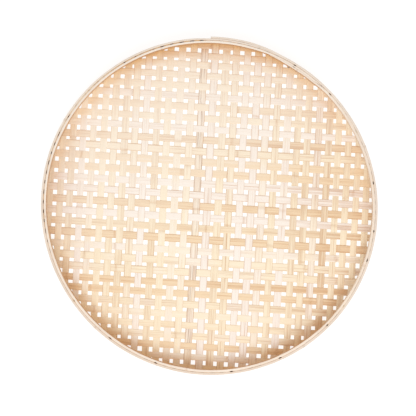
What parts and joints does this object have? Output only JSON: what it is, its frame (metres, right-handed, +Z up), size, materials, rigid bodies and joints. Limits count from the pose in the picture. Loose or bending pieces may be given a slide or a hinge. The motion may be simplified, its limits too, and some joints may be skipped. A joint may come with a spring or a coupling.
{
  "type": "winnowing basket",
  "caption": "Round shallow winnowing basket: open plain weave of flat bamboo splints, bent up at the rim and clamped between two lapped lath hoops.",
  "frame": {"origin": "middle of the foot ring, on the surface that the basket stands on", "axes": "+Z up through the open top; +X and +Y lie in the base, with the weave turned 3.5 degrees clockwise from them seen from above; the outer hoop's lap is near +Y"},
  "size_m": [0.4197, 0.4215, 0.038],
  "materials": {
    "warp_bamboo": "split bamboo, pale cream, satin, lengthwise fibres",
    "weft_bamboo": "split bamboo, light tan, satin, lengthwise fibres",
    "outer_hoop_bamboo": "scraped bamboo lath, cream, satin",
    "inner_hoop_bamboo": "scraped bamboo lath, light brown, satin",
    "brad_steel": "plain steel nail, dull"
  },
  "bodies": {
    "root": {"warp_splint_01": "warp_bamboo", "warp_splint_02": "warp_bamboo", "warp_splint_03": "warp_bamboo", "warp_splint_04": "warp_bamboo", "warp_splint_05": "warp_bamboo", "warp_splint_06": "warp_bamboo", "warp_splint_07": "warp_bamboo", "warp_splint_08": "warp_bamboo", "warp_splint_09": "warp_bamboo", "warp_splint_10": "warp_bamboo", "warp_splint_11": "warp_bamboo", "warp_splint_12": "warp_bamboo", "warp_splint_13": "warp_bamboo", "warp_splint_14": "warp_bamboo", "warp_splint_15": "warp_bamboo", "warp_splint_16": "warp_bamboo", "warp_splint_17": "warp_bamboo", "warp_splint_18": "warp_bamboo", "warp_splint_19": "warp_bamboo", "warp_splint_20": "warp_bamboo", "warp_splint_21": "warp_bamboo", "warp_splint_22": "warp_bamboo", "warp_splint_23": "warp_bamboo", "warp_splint_24": "warp_bamboo", "warp_splint_25": "warp_bamboo", "warp_splint_26": "warp_bamboo", "warp_splint_27": "warp_bamboo", "warp_splint_28": "warp_bamboo", "weft_splint_01": "weft_bamboo", "weft_splint_02": "weft_bamboo", "weft_splint_03": "weft_bamboo", "weft_splint_04": "weft_bamboo", "weft_splint_05": "weft_bamboo", "weft_splint_06": "weft_bamboo", "weft_splint_07": "weft_bamboo", "weft_splint_08": "weft_bamboo", "weft_splint_09": "weft_bamboo", "weft_splint_10": "weft_bamboo", "weft_splint_11": "weft_bamboo", "weft_splint_12": "weft_bamboo", "weft_splint_13": "weft_bamboo", "weft_splint_14": "weft_bamboo", "weft_splint_15": "weft_bamboo", "weft_splint_16": "weft_bamboo", "weft_splint_17": "weft_bamboo", "weft_splint_18": "weft_bamboo", "weft_splint_19": "weft_bamboo", "weft_splint_20": "weft_bamboo", "weft_splint_21": "weft_bamboo", "weft_splint_22": "weft_bamboo", "weft_splint_23": "weft_bamboo", "weft_splint_24": "weft_bamboo", "weft_splint_25": "weft_bamboo", "weft_splint_26": "weft_bamboo", "weft_splint_27": "weft_bamboo", "outer_hoop": "outer_hoop_bamboo", "inner_hoop": "inner_hoop_bamboo", "outer_lap_brad": "brad_steel", "inner_lap_brad": "brad_steel"}
  },
  "joints": []
}
